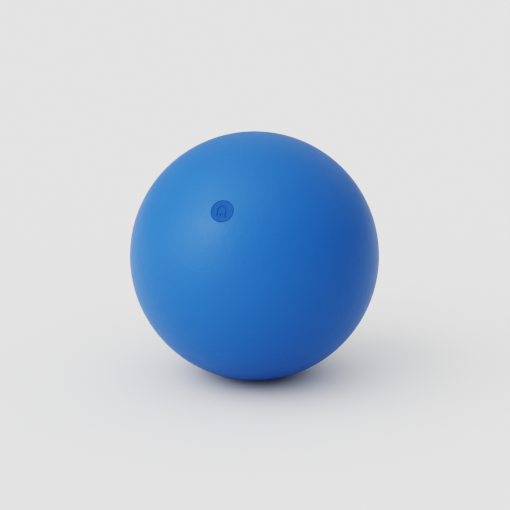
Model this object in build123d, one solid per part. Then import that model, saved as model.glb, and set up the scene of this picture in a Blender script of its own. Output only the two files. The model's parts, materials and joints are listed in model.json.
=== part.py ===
"""Garden croquet ball: a seamless moulded jacket round a cast core, closed by a push-in filler plug.

Millimetres. The origin is the centre of the ball, +Z is up, and the ball lies on the ground at
Z = -BALL_DIAMETER / 2. Its plug faces the front, -Y, and points up from the ground by PLUG_ELEVATION.

Every piece is modelled in the plug's own frame, whose +Z runs from the centre of the ball out through
the plug, and is turned into place by place(). Heights there are distances from the centre of the ball.
"""

import os
from math import sqrt

from build123d import *

# Ball
BALL_DIAMETER = 92.0  # regulation croquet ball, 3 5/8 in
JACKET_WALL = 4.0
PLUG_ELEVATION = 34.0  # degrees above the ground, as the ball lies

# Plug seat in the surface of the ball
SEAT_DIAMETER = 8.0
SEAT_LIP_RADIUS = 0.1
CAP_RECESS = 0.02  # the cap lies this far below the seat's sharp rim, clear of a mallet's face
CAP_GAP = 0.02  # radial gap round the cap, so narrow that the joint hardly shows
RUNNING_GAP = 0.05  # radial gap between the rest of the plug and what it slides in

# Neck: a boss that the jacket grows inwards round a moulded-in bush
BORE_DIAMETER = 5.8
BUSH_WALL = 2.1
BUSH_LENGTH = 12.0
BOSS_WALL = 4.0
BOSS_FLOOR = 1.5
BOSS_FILLET = 2.0
ANCHOR_HEIGHT = 0.6
ANCHOR_WIDTH = 1.6
ANCHOR_COUNT = 3
BORE_LEAD_IN = 0.4

# Plug, from the outside in
CAP_THICKNESS = 1.2
CAP_EDGE_RADIUS = 0.05
HEAD_THICKNESS = 1.2
SEAL_THICKNESS = 1.0
STEM_DIAMETER = 4.6
STEM_LENGTH = 10.0
STEM_TIP_CHAMFER = 0.8
BARB_COUNT = 4
BARB_PITCH = 1.9
BARB_LENGTH = 1.3
STUD_DIAMETER = 2.4
STUD_LENGTH = 4.5
STUD_GAP = 0.02
STUD_END_GAP = 0.12
STUD_CHAMFER = 0.25
TIP_AIR_GAP = 1.0  # between the tip of the stem and the core's stub

# Emblem on the cap: a croquet hoop with a ball in its mouth
ENGRAVING_DEPTH = 0.2
HOOP_WIDTH = 3.4
HOOP_HEIGHT = 4.0
HOOP_WIRE = 0.5
EMBLEM_BALL_DIAMETER = 1.2

ball_r = BALL_DIAMETER / 2
cavity_r = ball_r - JACKET_WALL
seat_r = SEAT_DIAMETER / 2
bore_r = BORE_DIAMETER / 2
bush_r = bore_r + BUSH_WALL
boss_r = bush_r + BOSS_WALL
cap_r = seat_r - CAP_GAP
head_r = seat_r - RUNNING_GAP
barb_r = bore_r - RUNNING_GAP
stem_r = STEM_DIAMETER / 2
stud_r = STUD_DIAMETER / 2

# Heights along the plug's axis, from the centre of the ball
seat_rim = sqrt(ball_r**2 - seat_r**2)
cap_top = seat_rim - CAP_RECESS
head_top = cap_top - CAP_THICKNESS
head_bottom = head_top - HEAD_THICKNESS
seat_floor = head_bottom - SEAL_THICKNESS
bush_bottom = seat_floor - BUSH_LENGTH
boss_bottom = bush_bottom - BOSS_FLOOR
stem_tip = head_bottom - STEM_LENGTH
core_stub_top = stem_tip - TIP_AIR_GAP


def disc(radius, low, high):
    """Cylinder on the plug's axis, between two heights."""
    return Pos(0, 0, low) * Cylinder(radius, high - low, align=(Align.CENTER, Align.CENTER, Align.MIN))


def circles_at(shape, radius, height):
    """The circular edges of a shape with this radius, at this height on the plug's axis."""
    near = 1e-4
    found = shape.edges().filter_by(GeomType.CIRCLE)
    return [e for e in found if abs(e.radius - radius) < near and abs(e.arc_center.Z - height) < near]


def bush_blank():
    """Outside of the neck bush, with the anchor ribs that lock it in the jacket."""
    blank = disc(bush_r, bush_bottom, seat_floor)
    pitch = BUSH_LENGTH / ANCHOR_COUNT
    for i in range(ANCHOR_COUNT):
        middle = bush_bottom + pitch * (i + 0.5)
        rib = disc(bush_r + ANCHOR_HEIGHT, middle - ANCHOR_WIDTH / 2, middle + ANCHOR_WIDTH / 2)
        blank += chamfer(rib.edges().filter_by(GeomType.CIRCLE), ANCHOR_HEIGHT / 2)
    return blank


def make_jacket():
    """Hollow ball with the boss inside it, the plug's seat in its surface and the bush's pocket between."""
    boss = disc(boss_r, boss_bottom, cavity_r) & Sphere(ball_r)
    jacket = (Sphere(ball_r) - Sphere(cavity_r)) + boss
    boss_root = sqrt(cavity_r**2 - boss_r**2)
    corners = circles_at(jacket, boss_r, boss_bottom) + circles_at(jacket, boss_r, boss_root)
    jacket = fillet(corners, BOSS_FILLET)
    jacket -= disc(seat_r, seat_floor, ball_r)
    jacket -= bush_blank()
    jacket -= disc(bore_r, boss_bottom, bush_bottom)
    return fillet(circles_at(jacket, seat_r, seat_rim), SEAT_LIP_RADIUS)


def make_core(jacket, neck_bush):
    """Elastomer cast into the jacket through the neck, where it leaves a short stub."""
    core = Sphere(cavity_r) - jacket - neck_bush
    return core - disc(bush_r, core_stub_top, ball_r)


def make_neck_bush():
    """Rigid liner of the neck, which the plug's barbs grip."""
    bush = bush_blank() - disc(bore_r, bush_bottom, seat_floor)
    return chamfer(circles_at(bush, bore_r, seat_floor), BORE_LEAD_IN)


def make_plug_stem():
    """Push-in stem under a flat head, with barbs that widen towards the head and a socket for the cap."""
    stem = disc(head_r, head_bottom, head_top)
    shank = disc(stem_r, stem_tip, head_bottom)
    stem += chamfer(circles_at(shank, stem_r, stem_tip), STEM_TIP_CHAMFER)
    first_barb = stem_tip + STEM_TIP_CHAMFER
    for i in range(BARB_COUNT):
        low = first_barb + i * BARB_PITCH
        barb = Cone(stem_r, barb_r, BARB_LENGTH, align=(Align.CENTER, Align.CENTER, Align.MIN))
        stem += Pos(0, 0, low) * barb
    return stem - disc(stud_r, head_top - STUD_LENGTH, head_top)


def make_plug_seal():
    """Rubber washer between the plug's head and the bush, rounded on its outer edge."""
    seal = disc(head_r, seat_floor, head_bottom) - disc(stem_r, seat_floor, head_bottom)
    outer = circles_at(seal, head_r, seat_floor) + circles_at(seal, head_r, head_bottom)
    return fillet(outer, SEAL_THICKNESS * 0.4)


def arch(half_width, crown, foot):
    """Plan of a round-topped arch, between the heights of its crown and its foot."""
    springing = crown - half_width
    legs = Pos(0, (springing + foot) / 2) * Rectangle(2 * half_width, springing - foot)
    return Pos(0, springing) * Circle(half_width) + legs


def emblem():
    """Plan of what is engraved in the cap, upright and the same on its left and right."""
    crown = HOOP_HEIGHT / 2
    foot = -HOOP_HEIGHT / 2
    mouth = arch(HOOP_WIDTH / 2 - HOOP_WIRE, crown - HOOP_WIRE, foot - HOOP_WIRE)
    hoop = arch(HOOP_WIDTH / 2, crown, foot) - mouth
    ball_radius = EMBLEM_BALL_DIAMETER / 2
    return hoop + Pos(0, foot + ball_radius) * Circle(ball_radius)


def make_plug_cap():
    """Visible disc with its engraved face, on a stud that presses into the stem."""
    plate = disc(cap_r, head_top, cap_top)
    cap = fillet(circles_at(plate, cap_r, cap_top), CAP_EDGE_RADIUS)
    stud_bottom = head_top - STUD_LENGTH + STUD_END_GAP
    stud = disc(stud_r - STUD_GAP, stud_bottom, head_top)
    cap += chamfer(circles_at(stud, stud_r - STUD_GAP, stud_bottom), STUD_CHAMFER)
    return cap - Pos(0, 0, cap_top - ENGRAVING_DEPTH) * extrude(emblem(), 2 * ENGRAVING_DEPTH)


def place(shape):
    """Leans the plug's frame forwards, so that its axis points to the front and up by PLUG_ELEVATION."""
    return Rot(90 - PLUG_ELEVATION, 0, 0) * shape


def build():
    """Every piece of the ball by its node name, in the plug's own frame."""
    neck_bush = make_neck_bush()
    jacket = make_jacket()
    return {
        "jacket": jacket,
        "core": make_core(jacket, neck_bush),
        "neck_bush": neck_bush,
        "plug_stem": make_plug_stem(),
        "plug_seal": make_plug_seal(),
        "plug_cap": make_plug_cap(),
    }


def main():
    os.makedirs("parts", exist_ok=True)
    for name, shape in build().items():
        export_step(place(shape), f"parts/{name}.step")


main()
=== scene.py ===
"""Looks of a garden croquet ball: a satin moulded jacket with a small matt plug let into it.

Metres. Every piece is turned about the plug's axis, so it is drawn in the plug's own frame, whose +Z
runs from the centre of the ball out through the plug, and is then leaned into the row's frame.
An outline is a list of (radius, height) points in that frame.
"""

import json
from math import asin, atan2, cos, hypot, pi, radians, sin, sqrt, tan

import bmesh
import bpy
from mathutils import Matrix, Vector


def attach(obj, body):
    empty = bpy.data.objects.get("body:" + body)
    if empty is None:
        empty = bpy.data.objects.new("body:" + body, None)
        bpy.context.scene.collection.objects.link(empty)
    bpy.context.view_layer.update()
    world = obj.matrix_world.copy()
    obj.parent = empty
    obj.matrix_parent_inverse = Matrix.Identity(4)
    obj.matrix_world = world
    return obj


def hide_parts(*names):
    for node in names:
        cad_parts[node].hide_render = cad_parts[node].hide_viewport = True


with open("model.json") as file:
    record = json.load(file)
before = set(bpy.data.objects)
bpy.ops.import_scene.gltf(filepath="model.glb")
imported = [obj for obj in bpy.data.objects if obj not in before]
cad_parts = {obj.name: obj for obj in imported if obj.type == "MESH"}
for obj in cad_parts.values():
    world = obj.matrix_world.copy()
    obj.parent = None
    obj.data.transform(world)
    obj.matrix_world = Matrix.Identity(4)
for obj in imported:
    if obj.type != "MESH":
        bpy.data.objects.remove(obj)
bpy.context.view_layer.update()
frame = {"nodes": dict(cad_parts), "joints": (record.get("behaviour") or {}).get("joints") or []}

MM = 0.001
SEGMENTS = 288  # round every turned piece
CREASE = radians(32)  # edges sharper than this stay sharp

plug_axis = Vector(frame["joints"][0]["axis"]).normalized()
lean = Matrix.Rotation(pi / 2 - asin(plug_axis.z), 4, "X")


# ---------------------------------------------------------------- sizes, read from the frame

def reach(node):
    """Distance from the centre of the ball to a CAD node's farthest point."""
    return max(v.co.length for v in frame["nodes"][node].data.vertices)


def span(node):
    """Lowest and highest height of a CAD node on the plug's axis."""
    heights = [v.co.dot(plug_axis) for v in frame["nodes"][node].data.vertices]
    return min(heights), max(heights)


def radii(node):
    """Smallest and largest radius of a CAD node about the plug's axis."""
    points = [v.co for v in frame["nodes"][node].data.vertices]
    found = [(p - plug_axis * p.dot(plug_axis)).length for p in points]
    return min(found), max(found)


ball_r = reach("jacket")
cavity_r = reach("core")
cap_bottom, cap_top = span("plug_cap")
stem_tip, head_top = span("plug_stem")
head_r = radii("plug_stem")[1]
seal_bottom, head_bottom = span("plug_seal")
stem_r = radii("plug_seal")[0]
bush_bottom, seat_floor = span("neck_bush")
bore_r, anchor_r = radii("neck_bush")

# What the extents of the nodes don't give
RUNNING_GAP = 0.05 * MM
CAP_GAP = 0.02 * MM
SEAT_LIP = 0.1 * MM
ANCHOR_HEIGHT = 0.6 * MM
ANCHOR_WIDTH = 1.6 * MM
ANCHOR_COUNT = 3
BOSS_WALL = 4.0 * MM
BOSS_FLOOR = 1.5 * MM
BOSS_FILLET = 2.0 * MM
TIP_AIR_GAP = 1.0 * MM

seat_r = head_r + RUNNING_GAP
cap_r = seat_r - CAP_GAP
bush_r = anchor_r - ANCHOR_HEIGHT
boss_r = bush_r + BOSS_WALL
boss_bottom = bush_bottom - BOSS_FLOOR
stub_top = stem_tip - TIP_AIR_GAP


# ---------------------------------------------------------------- outlines and turned meshes

CORNER_STEPS = 6
FILLET_STEPS = 8
LIP_STEPS = 12
BALL_STEPS = 180
CAVITY_STEPS = 120


def arc(centre, radius, start, end, steps):
    """Points on a circle in the outline's plane; angles in radians, 0 pointing away from the axis."""
    turn = (end - start) / steps
    return [
        (centre[0] + radius * cos(start + turn * i), centre[1] + radius * sin(start + turn * i))
        for i in range(steps + 1)
    ]


def rounded(corners):
    """Outline through (radius, height, corner radius) corners, each rounded by its own radius."""
    outline = []
    for i, (x, z, corner) in enumerate(corners):
        here = Vector((x, z))
        if corner == 0:
            outline.append((x, z))
            continue
        before = (Vector(corners[i - 1][:2]) - here).normalized()
        after = (Vector(corners[(i + 1) % len(corners)][:2]) - here).normalized()
        half = before.angle(after) / 2
        centre = here + (before + after).normalized() * corner / sin(half)
        start = here + before * corner / tan(half) - centre
        turn = (pi - 2 * half) * (1 if before.cross(after) < 0 else -1)
        first = atan2(start.y, start.x)
        outline += arc(centre, corner, first, first + turn, CORNER_STEPS)
    return outline


def turned(name, outline, ring=False, shape=None):
    """Object turned about the plug's axis. A ring's outline closes on itself; any other starts and ends on
    the axis. shape moves a point of the surface, in the plug's frame, before it is leaned into place."""
    mesh = bmesh.new()
    on_axis = 1e-7
    rounds = []
    for radius, height in outline:
        count = SEGMENTS if radius > on_axis else 1
        angles = [2 * pi * i / count for i in range(count)]
        rounds.append([mesh.verts.new((radius * cos(a), radius * sin(a), height)) for a in angles])
    followers = rounds[1:] + (rounds[:1] if ring else [])
    for low, high in zip(rounds, followers):
        for i in range(SEGMENTS):
            j = i + 1
            around = [low[i % len(low)], low[j % len(low)], high[j % len(high)], high[i % len(high)]]
            mesh.faces.new(dict.fromkeys(around))  # a corner on the axis counts once
    if shape:
        for vert in mesh.verts:
            vert.co = shape(vert.co)
    bmesh.ops.recalc_face_normals(mesh, faces=mesh.faces)
    for face in mesh.faces:
        face.smooth = True
    for edge in mesh.edges:
        edge.smooth = edge.calc_face_angle() < CREASE
    mesh.transform(lean)
    data = bpy.data.meshes.new(name)
    mesh.to_mesh(data)
    mesh.free()
    piece = bpy.data.objects.new(name, data)
    bpy.context.scene.collection.objects.link(piece)
    return piece


# ---------------------------------------------------------------- pieces

def bush_outside():
    """Outside of the neck bush with its anchor ribs, from its top down to its bottom."""
    outline = [(bush_r, seat_floor)]
    pitch = (seat_floor - bush_bottom) / ANCHOR_COUNT
    slope = ANCHOR_HEIGHT / 2
    for i in range(ANCHOR_COUNT):
        middle = seat_floor - pitch * (i + 0.5)
        high = middle + ANCHOR_WIDTH / 2
        low = middle - ANCHOR_WIDTH / 2
        outline += [(bush_r, high), (anchor_r - slope, high), (anchor_r, high - slope)]
        outline += [(anchor_r, low + slope), (anchor_r - slope, low), (bush_r, low)]
    return outline + [(bush_r, bush_bottom)]


def boss_outside():
    """Outside of the jacket's inner boss, from its bottom face out to the wall of the cavity."""
    corner = (boss_r - BOSS_FILLET, boss_bottom + BOSS_FILLET)
    outline = arc(corner, BOSS_FILLET, -pi / 2, 0, FILLET_STEPS)
    root_x = boss_r + BOSS_FILLET
    root_z = sqrt((cavity_r - BOSS_FILLET) ** 2 - root_x**2)
    return outline + arc((root_x, root_z), BOSS_FILLET, pi, atan2(root_z, root_x), FILLET_STEPS)


def sphere_outline(radius, start, end, steps):
    """Outline of a sphere about the centre of the ball, between two angles above its equator."""
    return arc((0, 0), radius, start, end, steps)


def make_jacket():
    """Seamless moulded ball with the rounded lip of the plug's seat, hollow inside round its boss.
    The surface has closer rounds near the lip than elsewhere."""
    finer_from = 3 * MM
    finer_until = 0.05 * MM
    finer_steps = 10
    lip_x = seat_r + SEAT_LIP
    lip_z = sqrt((ball_r - SEAT_LIP) ** 2 - lip_x**2)
    lip_angle = atan2(lip_z, lip_x)
    near_lip = lip_angle - finer_from / ball_r
    at_lip = lip_angle - finer_until / ball_r
    outline = [(0, -ball_r)]
    outline += sphere_outline(ball_r, -pi / 2, near_lip, BALL_STEPS)[1:]
    outline += sphere_outline(ball_r, near_lip, at_lip, finer_steps)[1:]
    outline += arc((lip_x, lip_z), SEAT_LIP, lip_angle, pi, LIP_STEPS)
    outline += [(seat_r, seat_floor)] + bush_outside()
    outline += [(bore_r, bush_bottom), (bore_r, boss_bottom)] + boss_outside()
    root = outline[-1]
    outline += sphere_outline(cavity_r, atan2(root[1], root[0]), -pi / 2, CAVITY_STEPS)[1:-1]
    outline += [(0, -cavity_r)]
    return turned("ball_jacket", outline)


def make_core():
    """Cast filling, whose stub in the neck set with a shallow meniscus."""
    meniscus = 0.35 * MM
    outline = [(0, -cavity_r)]
    inside = boss_outside()[::-1]
    outline += sphere_outline(cavity_r, -pi / 2, atan2(inside[0][1], inside[0][0]), CAVITY_STEPS)[1:-1]
    outline += inside
    outline += [(bore_r, boss_bottom), (bore_r, stub_top)]
    rings = 12
    for i in range(1, rings):
        share = 1 - i / rings
        outline.append((bore_r * share, stub_top - meniscus * (1 - share**4)))
    return turned("cast_core", outline + [(0, stub_top - meniscus)])


def make_bush():
    """Rigid liner of the neck, with a rounded lead-in at the mouth of its bore."""
    lead_in = 0.4 * MM
    outline = [(bore_r, bush_bottom)]
    outline += arc((bore_r + lead_in, seat_floor - lead_in), lead_in, pi, pi / 2, FILLET_STEPS)
    return turned("neck_liner", outline + bush_outside(), ring=True)


def make_stem():
    """Barbed stem, each barb widening towards the head, with the socket for the cap's stud."""
    tip_chamfer = 0.8 * MM
    barb_count = 4
    barb_r = bore_r - RUNNING_GAP
    barb_pitch = 1.9 * MM
    barb_length = 1.3 * MM
    socket_r = 1.2 * MM
    socket_depth = 4.5 * MM
    soft = 0.12 * MM
    corners = [
        (0, stem_tip, 0),
        (stem_r - tip_chamfer, stem_tip, 3 * soft),
        (stem_r, stem_tip + tip_chamfer, 0),
    ]
    for i in range(barb_count):
        low = stem_tip + tip_chamfer + i * barb_pitch
        corners += [(barb_r, low + barb_length, soft), (stem_r, low + barb_length, soft)]
        if i < barb_count - 1:
            corners.append((stem_r, low + barb_pitch, 0))
    corners += [
        (stem_r, head_bottom, soft),
        (head_r, head_bottom, soft),
        (head_r, head_top, soft),
        (socket_r, head_top, soft),
        (socket_r, head_top - socket_depth, 0),
        (0, head_top - socket_depth, 0),
    ]
    return turned("barbed_stem", rounded(corners))


def make_seal():
    """Rubber washer under the plug's head."""
    bulge = 0.4 * MM
    soft = 0.1 * MM
    corners = [
        (stem_r, seal_bottom, soft),
        (head_r, seal_bottom, bulge),
        (head_r, head_bottom, bulge),
        (stem_r, head_bottom, soft),
    ]
    return turned("rubber_seal", rounded(corners), ring=True)


def emblem_distance(x, y):
    """Distance outside the engraved hoop and ball, negative inside them."""
    half_width = 1.7 * MM
    half_height = 2.0 * MM
    half_wire = 0.25 * MM
    dot_r = 0.6 * MM
    springing = half_height - half_width
    leg = half_width - half_wire
    foot = half_wire - half_height
    if y > springing:
        hoop = abs(hypot(x, y - springing) - leg)
    else:
        hoop = hypot(abs(x) - leg, min(y - foot, 0))
    dot = hypot(x, y + half_height - dot_r)
    return min(hoop - half_wire, dot - dot_r)


def engrave(point):
    """Sinks the face of the cap where the emblem is, between walls with a soft draft. A point under the
    face stays where it is."""
    depth = 0.2 * MM
    draft = 0.16 * MM
    face_thickness = 0.01 * MM
    if point.z < cap_top - face_thickness:
        return point
    share = min(max(0.5 - emblem_distance(point.x, point.y) / draft, 0), 1)
    return point - Vector((0, 0, depth * share * share * (3 - 2 * share)))


def make_cap():
    """Flat disc with a rounded rim and an engraved face, on the stud that holds it in the stem."""
    rim = 0.05 * MM
    stud_r = 1.18 * MM
    soft = 0.1 * MM
    face_rings = 88
    corners = [
        (0, cap_bottom, 0),
        (stud_r, cap_bottom, 2 * soft),
        (stud_r, head_top, soft),
        (cap_r, head_top, soft),
        (cap_r, cap_top, rim),
    ]
    outline = rounded(corners)
    face_r = outline[-1][0]
    outline += [(face_r * (1 - i / face_rings), cap_top) for i in range(1, face_rings)]
    return turned("engraved_cap", outline + [(0, cap_top)], shape=engrave)


# ---------------------------------------------------------------- materials

class Paint:
    """A node material with one Principled shader, and short ways to add to it."""

    def __init__(self, name, colour, roughness, ior=1.5, specular=0.5):
        self.material = bpy.data.materials.new(name)
        self.material.use_nodes = True
        self.nodes = self.material.node_tree.nodes
        self.shader = self.nodes["Principled BSDF"]
        self.where = self.nodes.new("ShaderNodeTexCoord").outputs["Object"]
        self.colour = colour
        self.roughness = roughness
        self.set("Base Color", (*colour, 1))
        self.set("Roughness", roughness)
        self.set("IOR", ior)
        self.set("Specular IOR Level", specular)

    def set(self, socket, value):
        self.shader.inputs[socket].default_value = value

    def link(self, start, end):
        self.material.node_tree.links.new(start, end)

    def noise(self, size, detail=2.0, roughness=0.5):
        """Noise whose blobs are about size metres across."""
        node = self.nodes.new("ShaderNodeTexNoise")
        node.inputs["Scale"].default_value = 1 / size
        node.inputs["Detail"].default_value = detail
        node.inputs["Roughness"].default_value = roughness
        self.link(self.where, node.inputs["Vector"])
        return node.outputs["Fac"]

    def spread(self, source, low, high):
        """Noise, which mostly lies between 0.3 and 0.7, spread out between two other values."""
        node = self.nodes.new("ShaderNodeMapRange")
        node.inputs["From Min"].default_value = 0.3
        node.inputs["From Max"].default_value = 0.7
        node.inputs["To Min"].default_value = low
        node.inputs["To Max"].default_value = high
        self.link(source, node.inputs["Value"])
        return node.outputs["Result"]

    def vary_roughness(self, source, amount):
        low = self.roughness - amount
        self.link(self.spread(source, low, self.roughness + amount), self.shader.inputs["Roughness"])

    def vary_colour(self, source, other):
        """Blends the colour towards another where the source is high."""
        node = self.nodes.new("ShaderNodeMix")
        node.data_type = "RGBA"
        colours = [s for s in node.inputs if s.type == "RGBA"]
        colours[0].default_value = (*self.colour, 1)
        colours[1].default_value = (*other, 1)
        self.link(self.spread(source, 0, 1), node.inputs[0])
        result = next(s for s in node.outputs if s.type == "RGBA")
        self.link(result, self.shader.inputs["Base Color"])

    def bumps(self, *layers):
        """Stacks bumps, each a (source, height in metres, strength)."""
        under = None
        for source, height, strength in layers:
            node = self.nodes.new("ShaderNodeBump")
            node.inputs["Distance"].default_value = height
            node.inputs["Strength"].default_value = strength
            self.link(source, node.inputs["Height"])
            if under:
                self.link(under, node.inputs["Normal"])
            under = node.outputs["Normal"]
        self.link(under, self.shader.inputs["Normal"])


def jacket_paint():
    """Satin blue moulded polymer: a fine mould grain over a very shallow orange peel."""
    paint = Paint("satin_blue_polymer", (0.0213, 0.0968, 0.313), 0.45, specular=0.18)
    paint.vary_colour(paint.noise(9 * MM, detail=3), (0.0218, 0.0985, 0.317))
    paint.vary_roughness(paint.noise(3.5 * MM, detail=4, roughness=0.6), 0.02)
    paint.bumps(
        (paint.noise(2.4 * MM), 0.16 * MM, 0.6),
        (paint.noise(0.8 * MM), 0.08 * MM, 0.6),
        (paint.noise(0.16 * MM, detail=3), 0.004 * MM, 0.5),
    )
    return paint.material


def cap_paint():
    """Darker matt blue, with the spark-eroded grain of a mould insert."""
    paint = Paint("matt_blue_polymer", (0.0215, 0.0755, 0.238), 0.85, specular=0.1)
    paint.vary_colour(paint.noise(1.5 * MM, detail=3), (0.0208, 0.073, 0.231))
    paint.vary_roughness(paint.noise(0.5 * MM), 0.04)
    paint.bumps((paint.noise(0.09 * MM, detail=3), 0.006 * MM, 0.6))
    return paint.material


def stem_paint():
    """Natural unfilled nylon, slightly translucent."""
    paint = Paint("natural_nylon", (0.62, 0.58, 0.49), 0.42, ior=1.53)
    paint.set("Subsurface Weight", 0.3)
    paint.set("Subsurface Radius", (0.0012, 0.001, 0.0008))
    paint.set("Subsurface Scale", 1.0)
    paint.vary_roughness(paint.noise(1.2 * MM), 0.05)
    paint.bumps((paint.noise(0.2 * MM, detail=3), 0.004 * MM, 0.5))
    return paint.material


def bush_paint():
    """Grey glass-filled nylon, with the flow marks of its fibres."""
    paint = Paint("filled_nylon", (0.30, 0.31, 0.32), 0.5, ior=1.53)
    paint.vary_colour(paint.noise(0.6 * MM, detail=5, roughness=0.7), (0.36, 0.37, 0.38))
    paint.bumps((paint.noise(0.3 * MM, detail=4), 0.006 * MM, 0.6))
    return paint.material


def seal_paint():
    """Black rubber with a dry bloom."""
    paint = Paint("black_rubber", (0.02, 0.02, 0.022), 0.7)
    paint.vary_colour(paint.noise(0.8 * MM, detail=4), (0.032, 0.032, 0.034))
    paint.bumps((paint.noise(0.12 * MM, detail=3), 0.005 * MM, 0.6))
    return paint.material


def core_paint():
    """Cast elastomer with a mineral filler, matt where it set against the air."""
    paint = Paint("cast_elastomer", (0.16, 0.15, 0.135), 0.72)
    paint.vary_colour(paint.noise(0.7 * MM, detail=5, roughness=0.7), (0.24, 0.225, 0.2))
    paint.bumps((paint.noise(0.5 * MM, detail=4), 0.03 * MM, 0.6))
    return paint.material


def floor_paint():
    """Pale matt studio sweep."""
    return Paint("studio_floor", (0.74, 0.74, 0.74), 0.9, specular=0.0).material


def dress(piece, paint, body, node):
    """Gives a piece its material and its body, and hides the CAD node that it stands for."""
    piece.data.materials.append(paint)
    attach(piece, body)
    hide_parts(node)
    return piece


# ---------------------------------------------------------------- studio

CAMERA_AZIMUTH = 16.75
CAMERA_ELEVATION = 15.25


def direction(azimuth, elevation):
    """Unit vector from the ball. Azimuth 0 points to the ball's front, -Y, and 90 to its right, +X."""
    a = radians(azimuth)
    e = radians(elevation)
    return Vector((sin(a) * cos(e), -cos(a) * cos(e), sin(e)))


def group(name, objects):
    """Collection of the objects that some of the lamps light."""
    collection = bpy.data.collections.new(name)
    for item in objects:
        collection.objects.link(item)
    return collection


def soft_sun(name, target, azimuth, elevation, strength, spread):
    """Distant round light, spread degrees across, which falls on its target only. Its azimuth is counted
    from the camera's."""
    light = bpy.data.lights.new(name, "SUN")
    light.energy = strength
    light.angle = radians(spread)
    lamp = bpy.data.objects.new(name, light)
    lamp.rotation_mode = "QUATERNION"
    towards = direction(CAMERA_AZIMUTH + azimuth, elevation)
    lamp.rotation_quaternion = towards.to_track_quat("Z", "Y")
    lamp.light_linking.receiver_collection = target
    bpy.context.scene.collection.objects.link(lamp)


def make_floor():
    """Large plane under the ball."""
    half = 4.0
    data = bpy.data.meshes.new("floor")
    square = [(-half, -half, 0), (half, -half, 0), (half, half, 0), (-half, half, 0)]
    data.from_pydata(square, [], [(0, 1, 2, 3)])
    data.materials.append(floor_paint())
    floor = bpy.data.objects.new("floor", data)
    floor.location.z = -ball_r
    bpy.context.scene.collection.objects.link(floor)
    return floor


def make_sky(strength, pale):
    """Even light from all round. Looked at directly, it is as pale as the floor."""
    world = bpy.data.worlds.new("studio")
    world.use_nodes = True
    nodes = world.node_tree.nodes
    background = nodes["Background"]
    background.inputs["Color"].default_value = (1, 1, 1, 1)
    seen = nodes.new("ShaderNodeLightPath").outputs["Is Camera Ray"]
    choice = nodes.new("ShaderNodeMapRange")
    choice.inputs["To Min"].default_value = strength
    choice.inputs["To Max"].default_value = pale
    world.node_tree.links.new(seen, choice.inputs["Value"])
    world.node_tree.links.new(choice.outputs["Result"], background.inputs["Strength"])
    bpy.context.scene.world = world


def make_camera():
    """Camera a little above the ball and to its right, whose frame the ball half fills."""
    distance = 11 * ball_r
    ball_in_frame = 0.489
    outline_slope = ball_r / sqrt(distance**2 - ball_r**2)
    back = direction(CAMERA_AZIMUTH, CAMERA_ELEVATION)
    data = bpy.data.cameras.new("camera")
    data.sensor_width = 36
    data.lens = data.sensor_width * ball_in_frame / 2 / outline_slope
    data.shift_x = 0.001
    data.shift_y = 0.0016
    data.clip_start = 0.01
    camera = bpy.data.objects.new("camera", data)
    camera.location = back * distance
    camera.rotation_mode = "QUATERNION"
    camera.rotation_quaternion = back.to_track_quat("Z", "Y")
    bpy.context.scene.collection.objects.link(camera)
    bpy.context.scene.camera = camera


def make_studio(pieces):
    """Floor, lights and camera. The ball is lit mostly from its left and the floor more from above, so that
    the ball's shadow gathers under it."""
    ball = group("ball_lit", pieces)
    floor = group("floor_lit", [make_floor()])
    make_sky(0.55, 1.03)
    soft_sun("key", ball, -56, 16, 2.04, 56)
    soft_sun("key_side", ball, -50, 38, 1.1, 18)
    soft_sun("top", ball, -12, 67, 0.54, 40)
    soft_sun("left", ball, -84, 57, 0.7, 40)
    soft_sun("back", ball, 138, 55, 0.41, 90)
    soft_sun("floor_top", floor, -5, 81, 1.64, 116)
    soft_sun("floor_side", floor, -63, 37, 1.67, 65)
    make_camera()
    bpy.context.scene.view_settings.view_transform = "Filmic"
    bpy.context.scene.view_settings.look = "Very High Contrast"


def main():
    make_studio([
        dress(make_jacket(), jacket_paint(), "ball", "jacket"),
        dress(make_core(), core_paint(), "ball", "core"),
        dress(make_bush(), bush_paint(), "ball", "neck_bush"),
        dress(make_stem(), stem_paint(), "plug", "plug_stem"),
        dress(make_seal(), seal_paint(), "plug", "plug_seal"),
        dress(make_cap(), cap_paint(), "plug", "plug_cap"),
    ])


main()
